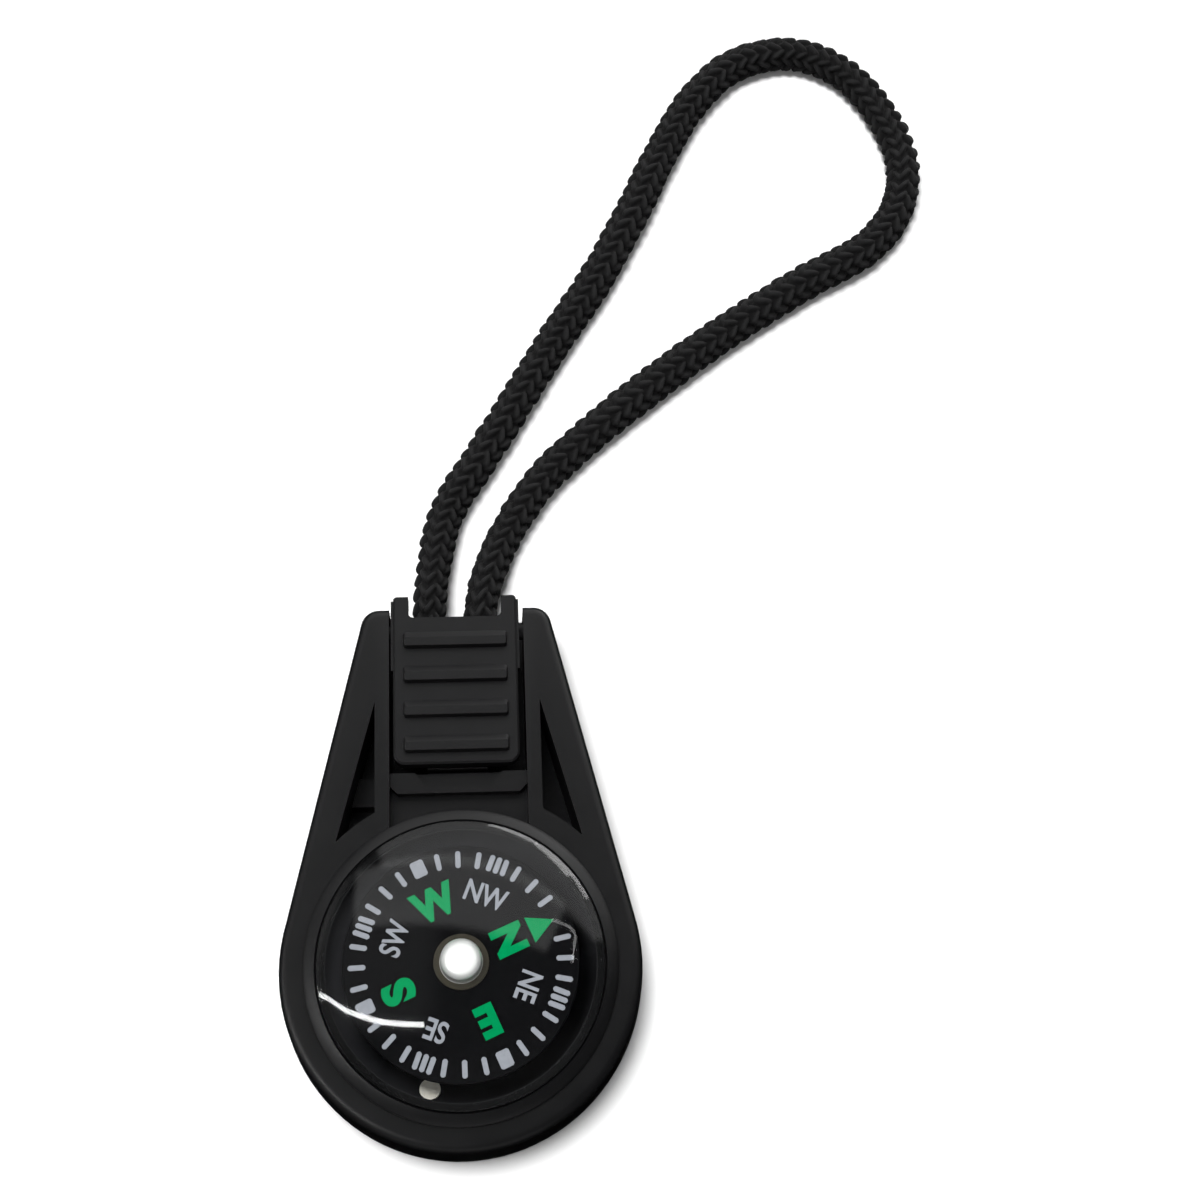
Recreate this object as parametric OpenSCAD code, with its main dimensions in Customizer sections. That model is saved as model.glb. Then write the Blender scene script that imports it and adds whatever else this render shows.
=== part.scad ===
// Liquid-filled compass on a cord: a teardrop housing with a pressed-in capsule,
// a hinged clamp lid with finger ribs, and a knitted loop held under the lid.
// Millimetres. The origin lies on the dial axis at the flat back, +Y runs towards
// the cord and +Z out of the dial.

/* [Capsule] */
// Diameter of the liquid capsule
capsule_d = 21; // [17:0.1:24]
// Wall of the capsule
capsule_wall = 0.9; // [0.7:0.05:1.1]
// Depth of the joint between cup and lens below the front face
cup_sink = 0.1; // [0:0.05:0.3]
// Height of the lens's straight rim
lens_rim = 1; // [0.8:0.1:1.2]
// Height of the dome above that rim
dome_h = 3; // [2.5:0.1:3.6]
// Diameter of the pillar that holds the pivot
pillar_d = 3; // [2.4:0.1:4]
// Height of that pillar above the cup's floor
pillar_h = 1.3; // [1:0.1:2]
// Diameter of the filler plug
plug_d = 1.1; // [0.8:0.05:1.2]
// Width of the rim of the plug's head inside the capsule
plug_lip = 0.15; // [0.1:0.05:0.2]
// Thickness of that head
plug_head_t = 0.4; // [0.3:0.05:0.5]
// Distance of that head from the capsule's wall
plug_inset = 0.85; // [0.2:0.05:1]
// Direction of the plug around the dial, in degrees
plug_angle = -106; // [-180:1:180]

/* [Card and pivot] */
// Gap between the card's edge and the capsule's wall
card_gap = 1.3; // [0.6:0.1:1.6]
// Thickness of the dial card
card_t = 0.3; // [0.2:0.05:0.5]
// Depth of the card's underside below the cup's rim
card_drop = 0.15; // [0:0.05:0.5]
// Outer diameter of the ring magnet
magnet_d = 8.4; // [6:0.1:10]
// Thickness of the ring magnet
magnet_t = 1; // [0.8:0.1:1.2]
// Diameter of the jewel and of the bore that holds it
jewel_d = 1.5; // [1.2:0.05:1.8]
// Thickness of the jewel
jewel_t = 0.65; // [0.5:0.05:0.8]
// Depth of the hollow under the jewel
jewel_cup = 0.35; // [0.25:0.05:0.4]
// Width of the jewel's flat edge round the hollow's mouth
jewel_edge = 0.3; // [0.2:0.05:0.35]
// Wall of the rivet stem through card and magnet
stem_wall = 0.25; // [0.15:0.05:0.4]
// Wall of the bearing cap
cap_wall = 0.7; // [0.5:0.05:0.9]
// Height of the bearing cap above the card
cap_h = 2.3; // [1.9:0.05:2.6]
// Rounding on top of the bearing cap
cap_round = 0.6; // [0.4:0.05:0.8]
// Metal left above the jewel
cap_roof = 0.35; // [0.25:0.05:0.5]
// Reach of the flange beyond the cap
flange_w = 0.45; // [0.3:0.05:0.6]
// Thickness of that flange
flange_t = 0.2; // [0.15:0.05:0.3]
// Diameter of the pivot pin
pin_d = 0.7; // [0.5:0.05:0.85]
// Length of the pin's ground point
pin_point = 0.6; // [0.5:0.05:0.8]
// Diameter of the blunt end of that point
pin_tip = 0.06; // [0.04:0.02:0.1]
// Gap between the point and the jewel
pivot_gap = 0.07; // [0.05:0.01:0.1]

/* [Bezel and rim] */
// Radial clearance of the capsule in its seat
seat_gap = 0.05; // [0.02:0.01:0.08]
// Thickness of the floor under the capsule
seat_floor = 1; // [0.8:0.1:1.2]
// Width of the raised bezel round the capsule
bezel_w = 0.95; // [0.8:0.05:1.6]
// Height of the bezel's inner edge above the front face
bezel_rise = 0.7; // [0.5:0.1:0.9]
// Fall of the bezel's top towards its outer edge
bezel_fall = 0.3; // [0:0.05:0.4]
// Width and depth of the chamfer inside the bezel
bezel_chamfer = 0.1; // [0.05:0.05:0.3]
// Chamfer on the bezel's outer edge
bezel_edge = 0.15; // [0.1:0.05:0.25]
// Width of the rim outside the bezel
rim_w = 2; // [1.6:0.1:2.6]
// Radius of the rounded front edge
front_edge_r = 0.7; // [0.5:0.1:0.9]
// Draft of the side wall from the parting line to the front edge
side_draft = 0.2; // [0.1:0.05:0.3]
// Height of the parting line above the back
parting_z = 1.5; // [1.2:0.1:2]
// Rounding of the back edge
back_edge = 0.3; // [0.2:0.1:0.5]

/* [Cord and channel] */
// Diameter of the knitted cord
cord_d = 3; // [2.6:0.1:3]
// Distance of each strand from the middle between them, under the lid
strand_x = 2; // [1.8:0.05:2.2]
// Thickness of the channel's floor
channel_floor = 0.8; // [0.7:0.1:1]
// Clearance of the cord above that floor
cord_lift = 0.05; // [0:0.01:0.1]
// Clearance between each side of the lid and the channel
lid_side_gap = 0.43; // [0.35:0.01:0.5]
// Length of the recess between the bezel and the latch bar
recess_l = 1.5; // [1.2:0.1:2]
// Depth of that recess below the front face
recess_depth = 1.4; // [1.1:0.1:1.8]
// Width of the latch bar along the housing
bar_w = 1.6; // [1.3:0.1:2]
// Height of the latch bar above the recess
bar_rise = 0.9; // [0.6:0.1:1.1]
// Bevel on the latch bar's lower corners
bar_bevel = 0.6; // [0.3:0.1:0.9]
// Width of the pry notch in the latch bar, at its open side
pry_w = 6.6; // [5:0.1:7.8]
// Width of the pry notch at its closed side
pry_floor_w = 5; // [4:0.1:6]
// Length of the pry notch along the housing
pry_l = 1.05; // [0.8:0.05:1.25]
// Depth of the pry notch below the top of the latch bar
pry_depth = 0.55; // [0.3:0.05:0.8]
// Wall beside the channel at the neck
neck_wall = 2.4; // [2:0.1:3]
// Length of the housing beyond the hinge line
neck_l = 1.9; // [1.6:0.1:2.4]
// Plan radius of the two shoulders
shoulder_r = 1.6; // [1.3:0.1:1.9]

/* [Side windows] */
// Width of the strip between the channel and each window
strip_w = 1.1; // [0.9:0.1:1.4]
// Width of the face between the bezel and each window
window_gap = 1.6; // [1.3:0.1:2]
// Length of each window beyond the channel's lower end
window_l = 5.5; // [4:0.1:7]
// Lean of the window's outer edge beyond that of the housing's side, in degrees
window_lean = 1.7; // [0:0.1:2.5]
// Thickness of the floor inside the windows
window_floor = 1; // [0.8:0.1:1.5]
// Length of the moulded pad in the left window
pad_l = 2.2; // [1.5:0.1:3]
// Distance from the pad's lower side to the channel's lower end
pad_back = 1.8; // [1.2:0.1:2.2]
// Height of that pad above the window's floor
pad_h = 1.4; // [0.8:0.1:2]

/* [Clamp lid] */
// Gap between the lid's lower edge and the channel's lower end
lid_end_gap = 0.5; // [0.4:0.05:0.8]
// Length of the plate from its lower edge to the notch for the cord
plate_l = 11.7; // [11:0.1:14]
// Thickness of the plate
lid_t = 1.25; // [1:0.05:1.5]
// Height of the plate's top above the front face
lid_proud = 0.25; // [0:0.05:0.4]
// Sideways play taken up to the left
lid_play = 0.1; // [0:0.02:0.14]
// Plan radius of the lid's lower corners
lid_corner_r = 0.85; // [0.5:0.05:1.2]
// Bevel around the plate's top
lid_bevel = 0.15; // [0.1:0.05:0.3]
// Clearance between the notch and each strand
notch_gap = 0.1; // [0.05:0.01:0.2]
// Radius in the corners of the notch
notch_corner_r = 0.4; // [0.2:0.05:0.5]
// Width of each ear beside the notch
ear_w = 1.17; // [1:0.01:1.5]
// Reach of the ears beyond the bottom of the notch
ear_l = 1.75; // [1.2:0.05:2.1]
// Plan radius of the ear tips
ear_r = 0.3; // [0.2:0.05:0.4]

/* [Finger ribs] */
// Number of ribs on the lid
rib_count = 4; // [3:1:4]
// Length of each rib across the lid
rib_l = 8; // [6:0.1:8.4]
// Width of each rib along the lid
rib_w = 1.3; // [1:0.05:1.6]
// Height of each rib
rib_h = 0.55; // [0.3:0.05:0.7]
// Distance between the ribs
rib_pitch = 2.77; // [2.2:0.01:2.9]
// Distance from the lid's lower edge to the first rib
rib_start = 0.85; // [0.7:0.05:1]
// Radius of a rib's corners
rib_corner_r = 0.25; // [0.15:0.05:0.4]
// Slope of a rib's long upper side, as a run
rib_run = 0.45; // [0.2:0.05:0.6]

/* [Hinge, teeth and latch] */
// Distance from the bottom of the notch back to the hinge line
hinge_back = 0.8; // [0.7:0.05:0.9]
// Depth of the hinge line below the plate
hinge_drop = 0.3; // [0.25:0.05:0.4]
// Diameter of the trunnions
trunnion_d = 1.36; // [1.1:0.02:1.6]
// Radial running clearance of the trunnions
trunnion_gap = 0.06; // [0.02:0.01:0.09]
// Length of each trunnion beyond its cheek
trunnion_l = 1.05; // [0.8:0.05:1.25]
// Gap between a trunnion's end and the bottom of its socket
trunnion_end_gap = 0.25; // [0.2:0.05:0.4]
// Thickness of each hinge cheek
cheek_t = 0.9; // [0.7:0.05:1.1]
// Reach of each cheek beyond the edge of the plate
cheek_proud = 0.18; // [0.1:0.02:0.24]
// Wall of the cheek around the trunnion
cheek_wall = 0.45; // [0.35:0.05:0.55]
// Length of the cheek from the hinge line towards the dial
cheek_l = 3.4; // [2.5:0.1:4]
// Clearance between the teeth and the cord
tooth_gap = 0.25; // [0.1:0.05:0.4]
// Number of teeth that bite the cord
tooth_count = 4; // [2:1:4]
// Length of each tooth across the lid
tooth_l = 7.6; // [6:0.1:8.9]
// Height of each tooth
tooth_h = 0.9; // [0.7:0.05:1.1]
// Width of each tooth at its root
tooth_w = 0.9; // [0.6:0.05:1.2]
// Width of each tooth's blunt tip
tooth_tip = 0.2; // [0.1:0.05:0.3]
// Distance between the teeth
tooth_pitch = 1.9; // [1.5:0.1:2.2]
// Distance from the hinge line to the first tooth
tooth_start = 2; // [1.8:0.1:2.4]
// Width of the latch tongue
tongue_w = 4.6; // [3:0.1:5.4]
// Thickness of the latch tongue
tongue_t = 0.8; // [0.6:0.05:0.95]
// Length of the latch tongue below the plate
tongue_l = 1.7; // [1.4:0.1:2]
// Radius of the latch beads on the tongue and the channel's end
bead_r = 0.2; // [0.1:0.02:0.24]
// Distance of each bead from the middle between them
bead_step = 0.3; // [0.25:0.05:0.4]

/* [Hidden] */
$fn = 64;
// Overrun of every cut
cut = 1;
edge_steps = 5;
round_steps = 6;
rib_top_share = 0.6;
cord_sides = 8;

// Heights, built up from the channel's floor through the cord and the lid
tooth_z = channel_floor + cord_lift + cord_d + tooth_gap;
lid_z = tooth_z + tooth_h;
lid_top = lid_z + lid_t;
face_h = lid_top - lid_proud;
bezel_top = face_h + bezel_rise;
recess_z = face_h - recess_depth;
bar_top = recess_z + bar_rise;
hinge_z = lid_z - hinge_drop;
bead_z = lid_z - tongue_l / 2;

// Radii, built up from the capsule
capsule_r = capsule_d / 2;
bowl_r = capsule_r - capsule_wall;
card_r = bowl_r - card_gap;
seat_r = capsule_r + seat_gap;
bezel_r = seat_r + bezel_w;
body_r = bezel_r + rim_w;
window_r = bezel_r + window_gap;

// Places along the housing, from the bezel to the cord
bar_y = bezel_r + recess_l;
channel_y = bar_y + bar_w;
lid_y = channel_y + lid_end_gap;
notch_y = lid_y + plate_l;
ear_y = notch_y + ear_l;
hinge_y = notch_y - hinge_back;
neck_y = hinge_y + neck_l;
window_tip_y = channel_y + window_l;
pad_y = channel_y - pad_back;
tongue_y = lid_y + bead_r;

// Widths, built up from the two strands of the cord
notch_half = strand_x + cord_d / 2 + notch_gap;
lid_half = notch_half + ear_w;
cheek_out = lid_half + cheek_proud;
channel_half = lid_half + lid_side_gap;
window_x = channel_half + strip_w;
socket_x = cheek_out + trunnion_l + trunnion_end_gap + lid_play;
boss_r = trunnion_d / 2 + cheek_wall;

// Shoulders, and the slope of the sides that run tangent from the dial to them
shoulder_x = channel_half + neck_wall - shoulder_r;
shoulder_y = neck_y - shoulder_r;
side_angle = asin((body_r - shoulder_r) / norm([shoulder_x, shoulder_y]))
  - atan2(shoulder_x, shoulder_y);

// The capsule and what turns inside it
cup_top = face_h - cup_sink;
cup_floor_z = seat_floor + capsule_wall;
plug_r = bowl_r - plug_inset - plug_lip - plug_d / 2;
lens_shoulder_z = cup_top + lens_rim;
dome_r = (capsule_r * capsule_r + dome_h * dome_h) / (2 * dome_h);
dome_z = lens_shoulder_z + dome_h - dome_r;
card_z = cup_top - card_drop;
card_top = card_z + card_t;
magnet_z = card_z - magnet_t;
stem_r = jewel_d / 2 + stem_wall;
cap_r = jewel_d / 2 + cap_wall;
cap_top = card_top + cap_h;
jewel_top = cap_top - cap_roof;
jewel_z = jewel_top - jewel_t;
pin_top = jewel_z + jewel_cup - pivot_gap;

// Route of the cord's middle, from one sealed end in the channel round to the other,
// as distance across, distance beyond the neck, and height
held_z = channel_floor + cord_lift + cord_d / 2;
resting_z = cord_d / 2;
sloped_z = (held_z + resting_z) / 2;
cord_route = [
  [-2.1, -11.3, held_z], [-2.1, -6.9, held_z], [-2.1, -2.4, held_z], [-2.1, 1.1, held_z],
  [-1.7, 5.1, sloped_z], [-0.6, 9.7, resting_z], [2, 14.1, resting_z], [5, 19.1, resting_z],
  [8.4, 24.8, resting_z], [12.4, 31.1, resting_z], [15.8, 37.5, resting_z], [18.7, 43.6, resting_z],
  [21.6, 48.6, resting_z], [25.6, 52.6, resting_z], [30.9, 53.9, resting_z], [35.6, 51.8, resting_z],
  [38.7, 47.4, resting_z], [40.1, 42.5, resting_z], [39.2, 37.7, resting_z], [36, 33.7, resting_z],
  [30.3, 30.4, resting_z], [23.7, 26.1, resting_z], [17.6, 21.6, resting_z], [11.8, 16.8, resting_z],
  [7.2, 12.3, resting_z], [4.2, 7.7, resting_z], [2.7, 4.1, sloped_z], [1.95, 0.9, held_z],
  [1.9, -2.4, held_z], [1.9, -6.9, held_z], [1.9, -11.3, held_z]
];
cord_path = [for (p = cord_route) [p.x, neck_y + p.y, p.z]];

// Outline of the housing's edge as inset and height, from the back to the front
function edge_profile(r) = concat(
  [[0, 0], [r - back_edge, 0], [r, back_edge], [r, parting_z]],
  [for (i = [0 : edge_steps])
    let (a = 90 * i / edge_steps)
      [r - side_draft - front_edge_r * (1 - cos(a)), face_h - front_edge_r * (1 - sin(a))]],
  [[0, face_h]]
);

// The drafted and rounded teardrop
module teardrop() {
  hull() {
    rotate_extrude($fn = 96)
      polygon(edge_profile(body_r));
    for (side = [-1, 1])
      translate([side * shoulder_x, shoulder_y, 0])
        rotate_extrude($fn = 32)
          polygon(edge_profile(shoulder_r));
  }
}

// The raised ring round the dial, before the seat is bored
module bezel() {
  rotate_extrude()
    polygon([[0, face_h - bezel_rise], [bezel_r, face_h - bezel_rise],
             [bezel_r, bezel_top - bezel_fall - bezel_edge], [bezel_r - bezel_edge, bezel_top - bezel_fall],
             [seat_r + bezel_chamfer, bezel_top], [0, bezel_top]]);
}

// Bore for the capsule, opened by a chamfer
module capsule_seat() {
  translate([0, 0, seat_floor])
    cylinder(r = seat_r, h = bezel_top);
  rotate_extrude()
    polygon([[0, bezel_top - bezel_chamfer], [seat_r, bezel_top - bezel_chamfer],
             [seat_r + bezel_chamfer, bezel_top], [seat_r + bezel_chamfer, bezel_top + cut],
             [0, bezel_top + cut]]);
}

// Three-sided pocket beside the channel
module window(side) {
  run = window_tip_y * tan(side_angle + window_lean);
  translate([0, 0, window_floor])
    linear_extrude(height = face_h)
      difference() {
        polygon([[side * window_x, window_tip_y], [side * window_x, 0],
                 [side * (window_x + run), 0]]);
        circle(r = window_r);
      }
}

// Low moulded pad on the floor of the left window
module window_pad() {
  translate([-window_x - pad_l, pad_y, 0])
    cube([pad_l + strip_w / 2, pad_l, window_floor + pad_h]);
}

// Plan of the latch bar, without its pry notch
module bar_plan() {
  polygon([[-channel_half, channel_y], [-channel_half, bar_y + bar_bevel],
           [-channel_half + bar_bevel, bar_y], [channel_half - bar_bevel, bar_y],
           [channel_half, bar_y + bar_bevel], [channel_half, channel_y]]);
}

// Hollow round the latch bar, with the bar left standing in it
module latch_recess() {
  difference() {
    translate([-channel_half, 0, recess_z])
      cube([2 * channel_half, channel_y, face_h]);
    cylinder(r = bezel_r, h = bezel_top + cut);
    difference() {
      translate([0, 0, recess_z - cut])
        linear_extrude(height = bar_rise + cut)
          bar_plan();
      translate([0, 0, bar_top - pry_depth])
        linear_extrude(height = pry_depth + cut)
          polygon([[-pry_w / 2, channel_y], [-pry_floor_w / 2, channel_y - pry_l],
                   [pry_floor_w / 2, channel_y - pry_l], [pry_w / 2, channel_y]]);
    }
  }
}

// Half-round bead along X, for the snap of the lid
module bead(length) {
  translate([-length / 2, 0, 0])
    rotate([0, 90, 0])
      cylinder(r = bead_r, h = length);
}

module housing() {
  color([0.18, 0.18, 0.19]) {
    difference() {
      union() {
        teardrop();
        bezel();
      }
      capsule_seat();
      difference() {
        window(-1);
        window_pad();
      }
      window(1);
      translate([-channel_half, channel_y, channel_floor])
        cube([2 * channel_half, neck_y, face_h]);
      latch_recess();
      translate([-socket_x, hinge_y, hinge_z])
        rotate([0, 90, 0])
          cylinder(d = trunnion_d + 2 * trunnion_gap, h = 2 * socket_x);
    }
    translate([0, channel_y, bead_z + bead_step])
      bead(tongue_w);
  }
}

module capsule_cup() {
  color([0.05, 0.05, 0.06])
    difference() {
      rotate_extrude()
        polygon([[0, seat_floor], [capsule_r, seat_floor], [capsule_r, cup_top],
                 [bowl_r, cup_top], [bowl_r, cup_floor_z], [pillar_d / 2, cup_floor_z],
                 [pillar_d / 2, cup_floor_z + pillar_h], [0, cup_floor_z + pillar_h]]);
      translate([0, 0, cup_floor_z])
        cylinder(d = pin_d, h = pillar_h + cut);
      rotate([0, 0, plug_angle])
        translate([plug_r, 0, seat_floor - cut])
          cylinder(d = plug_d, h = capsule_wall + 2 * cut);
    }
}

module lens_dome() {
  color([0.85, 0.9, 0.92, 0.35])
    difference() {
      intersection() {
        translate([0, 0, dome_z])
          sphere(r = dome_r, $fn = 96);
        translate([0, 0, cup_top])
          cylinder(r = capsule_r, h = lens_rim + dome_h + cut);
      }
      intersection() {
        translate([0, 0, dome_z])
          sphere(r = dome_r - capsule_wall, $fn = 96);
        translate([0, 0, cup_top - cut])
          cylinder(r = bowl_r, h = lens_rim + dome_h + 2 * cut);
      }
    }
}

// The plug is pressed into the cup's floor from inside, with its head in view
module filler_plug() {
  color([0.85, 0.78, 0.6])
    rotate([0, 0, plug_angle])
      translate([plug_r, 0, 0]) {
        translate([0, 0, cup_floor_z])
          cylinder(d = plug_d + 2 * plug_lip, h = plug_head_t);
        translate([0, 0, seat_floor + seat_gap])
          cylinder(d = plug_d, h = capsule_wall);
      }
}

module pivot_pin() {
  color([0.75, 0.76, 0.78])
    rotate_extrude()
      polygon([[0, cup_floor_z], [pin_d / 2, cup_floor_z], [pin_d / 2, pin_top - pin_point],
               [pin_tip / 2, pin_top], [0, pin_top]]);
}

module jewel() {
  color([0.75, 0.2, 0.3])
    rotate_extrude()
      polygon([[0, jewel_z + jewel_cup], [jewel_d / 2 - jewel_edge, jewel_z], [jewel_d / 2, jewel_z],
               [jewel_d / 2, jewel_top], [0, jewel_top]]);
}

// Turned cap that holds the jewel; its stem rivets card and magnet together
module bearing_cap() {
  color([0.8, 0.8, 0.82])
    rotate_extrude()
      polygon(concat(
        [[jewel_d / 2, magnet_z], [stem_r, magnet_z], [stem_r, card_top],
         [cap_r + flange_w, card_top], [cap_r + flange_w, card_top + flange_t],
         [cap_r, card_top + flange_t]],
        [for (i = [0 : round_steps])
          let (a = 90 * i / round_steps)
            [cap_r - cap_round * (1 - cos(a)), cap_top - cap_round * (1 - sin(a))]],
        [[0, cap_top], [0, jewel_top], [jewel_d / 2, jewel_top]]
      ));
}

module dial_card() {
  color([0.07, 0.07, 0.08])
    difference() {
      translate([0, 0, card_z])
        cylinder(r = card_r, h = card_t);
      translate([0, 0, card_z - cut])
        cylinder(r = stem_r, h = card_t + 2 * cut);
    }
}

module magnet() {
  color([0.35, 0.35, 0.37])
    difference() {
      translate([0, 0, magnet_z])
        cylinder(d = magnet_d, h = magnet_t);
      translate([0, 0, magnet_z - cut])
        cylinder(r = stem_r, h = magnet_t + 2 * cut);
    }
}

// Flat slab with round corners, from the lid's lower edge to the ear tips
module lid_slab(inset, height) {
  for (side = [-1, 1]) {
    translate([side * (lid_half - lid_corner_r), lid_y + lid_corner_r, lid_z])
      cylinder(r = lid_corner_r - inset, h = height, $fn = 32);
    translate([side * (lid_half - ear_r), ear_y - ear_r, lid_z])
      cylinder(r = ear_r - inset, h = height, $fn = 32);
  }
}

// Slot between the ears, where the cord comes out
module lid_notch() {
  translate([0, 0, lid_z - cut])
    linear_extrude(height = lid_t + rib_h + 2 * cut) {
      translate([-notch_half, notch_y + notch_corner_r])
        square([2 * notch_half, ear_l + cut]);
      translate([-notch_half + notch_corner_r, notch_y])
        square([2 * (notch_half - notch_corner_r), ear_l]);
      for (side = [-1, 1])
        translate([side * (notch_half - notch_corner_r), notch_y + notch_corner_r])
          circle(r = notch_corner_r);
    }
}

// One finger rib: steep on its lower side, ramped on its upper side
module rib() {
  corner = rib_corner_r;
  hull() {
    for (x = [-rib_l / 2 + corner, rib_l / 2 - corner])
      for (y = [corner, rib_w - corner])
        translate([x, y, 0])
          cylinder(r = corner, h = rib_h / 4, $fn = 16);
    for (x = [-rib_l / 2 + corner, rib_l / 2 - corner])
      for (y = [corner, rib_w - corner - rib_run])
        translate([x, y, 0])
          cylinder(r = corner * rib_top_share, h = rib_h, $fn = 16);
  }
}

// Hinge cheek seen from the side, as height above and distance from the hinge line
module cheek_plan() {
  top = lid_top - 2 * lid_bevel - hinge_z;
  circle(r = boss_r);
  polygon([[-cheek_l, lid_z - hinge_z], [0, -boss_r], [boss_r, 0],
           [ear_y - hinge_y - ear_r, lid_z - hinge_z - lid_bevel],
           [ear_y - hinge_y - ear_r, top], [-cheek_l, top]]);
}

module cheek(side) {
  translate([side * (cheek_out - cheek_t / 2), hinge_y, hinge_z])
    rotate([90, 0, 90])
      translate([0, 0, -cheek_t / 2])
        linear_extrude(height = cheek_t)
          cheek_plan();
  translate([side * (cheek_out + (trunnion_l - cheek_t) / 2), hinge_y, hinge_z])
    rotate([0, 90, 0])
      cylinder(d = trunnion_d, h = trunnion_l + cheek_t, center = true);
}

// Cross tooth under the plate, sharp towards the dial
module tooth() {
  translate([-tooth_l / 2, 0, 0])
    rotate([90, 0, 90])
      linear_extrude(height = tooth_l)
        polygon([[0, 0], [0, -tooth_h], [tooth_tip, -tooth_h], [tooth_w, 0], [tooth_w, tooth_tip],
                 [0, tooth_tip]]);
}

module clamp_lid() {
  color([0.2, 0.2, 0.21])
    translate([-lid_play, 0, 0]) {
      difference() {
        hull() {
          lid_slab(0, lid_t - lid_bevel);
          lid_slab(lid_bevel, lid_t);
        }
        lid_notch();
      }
      for (i = [0 : rib_count - 1])
        translate([0, lid_y + rib_start + i * rib_pitch, lid_top])
          rib();
      for (side = [-1, 1])
        cheek(side);
      for (i = [0 : tooth_count - 1])
        translate([0, hinge_y - tooth_start - tooth_w - i * tooth_pitch, lid_z])
          tooth();
      translate([-tongue_w / 2, tongue_y, lid_z - tongue_l])
        cube([tongue_w, tongue_t, tongue_l + lid_bevel]);
      translate([0, tongue_y, bead_z - bead_step])
        bead(tongue_w);
    }
}

// Unit vector from one point to another
function heading(a, b) = (b - a) / norm(b - a);

// Direction of the cord at one point of its path
function cord_heading(i) = let (last = len(cord_path) - 1)
  heading(cord_path[max(i - 1, 0)], cord_path[min(i + 1, last)]);

// One ring of points square to the cord, with a flat side down
function cord_ring(i) = let (
    ahead = cord_heading(i),
    across = heading([0, 0, 0], cross([0, 0, 1], ahead)),
    up = cross(ahead, across)
  )
  [for (k = [0 : cord_sides - 1])
    let (a = 360 * (k + 0.5) / cord_sides)
      cord_path[i] + cord_d / 2 * (cos(a) * across + sin(a) * up)];

module cord_loop() {
  rings = len(cord_path);
  points = [for (i = [0 : rings - 1]) each cord_ring(i)];
  walls = [for (i = [0 : rings - 2], k = [0 : cord_sides - 1])
    let (j = (k + 1) % cord_sides, a = i * cord_sides, b = a + cord_sides)
      each [[a + k, a + j, b + j], [a + k, b + j, b + k]]];
  first = [for (k = [cord_sides - 1 : -1 : 0]) k];
  last = [for (k = [0 : cord_sides - 1]) (rings - 1) * cord_sides + k];
  color([0.08, 0.08, 0.08])
    polyhedron(points = points, faces = concat(walls, [first], [last]));
}

housing();
capsule_cup();
lens_dome();
filler_plug();
pivot_pin();
jewel();
bearing_cap();
dial_card();
magnet();
clamp_lid();
cord_loop();
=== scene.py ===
"""A liquid-filled button compass in a black teardrop housing, on a knitted cord loop.

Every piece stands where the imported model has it, in metres. The dial's axis is Z, and the cord runs off
towards +Y.
"""

import math

import bpy
import numpy as np
from mathutils import Matrix, Quaternion, Vector


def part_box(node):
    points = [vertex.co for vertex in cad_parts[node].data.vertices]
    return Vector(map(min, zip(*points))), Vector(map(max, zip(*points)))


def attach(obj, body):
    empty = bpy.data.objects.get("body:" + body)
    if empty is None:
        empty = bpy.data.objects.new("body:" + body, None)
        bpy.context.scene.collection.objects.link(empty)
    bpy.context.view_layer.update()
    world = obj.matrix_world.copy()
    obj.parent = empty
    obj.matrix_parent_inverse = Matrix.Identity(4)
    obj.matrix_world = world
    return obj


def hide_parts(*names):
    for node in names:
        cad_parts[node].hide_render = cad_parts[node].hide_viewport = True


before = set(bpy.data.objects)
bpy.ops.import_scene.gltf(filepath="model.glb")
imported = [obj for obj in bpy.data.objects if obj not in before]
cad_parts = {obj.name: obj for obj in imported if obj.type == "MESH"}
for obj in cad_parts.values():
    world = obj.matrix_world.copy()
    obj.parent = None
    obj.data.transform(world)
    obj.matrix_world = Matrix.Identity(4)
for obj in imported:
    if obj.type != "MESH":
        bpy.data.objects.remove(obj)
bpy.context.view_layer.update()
scene = bpy.context.scene


# The camera stands above the dial and a little below it, and looks 70 degrees down along the cord.
# It is turned in the hand by a few degrees, so that the housing leans to the left as in the photograph.
eye = Vector((0.00192, -0.02198, 0.14575))
aim = Vector((0.01166, 0.03016, 0))
camera_roll = math.radians(8.79)
lens_mm = 57
camera = bpy.data.objects.new("camera", bpy.data.cameras.new("camera"))
camera.data.lens = lens_mm
camera.data.clip_start = 0.01
facing = (aim - eye).to_track_quat("-Z", "Y") @ Quaternion((0, 0, 1), camera_roll)
camera.matrix_world = Matrix.LocRotScale(eye, facing, None)
scene.collection.objects.link(camera)
scene.camera = camera
scene.view_settings.view_transform = "Standard"


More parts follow.
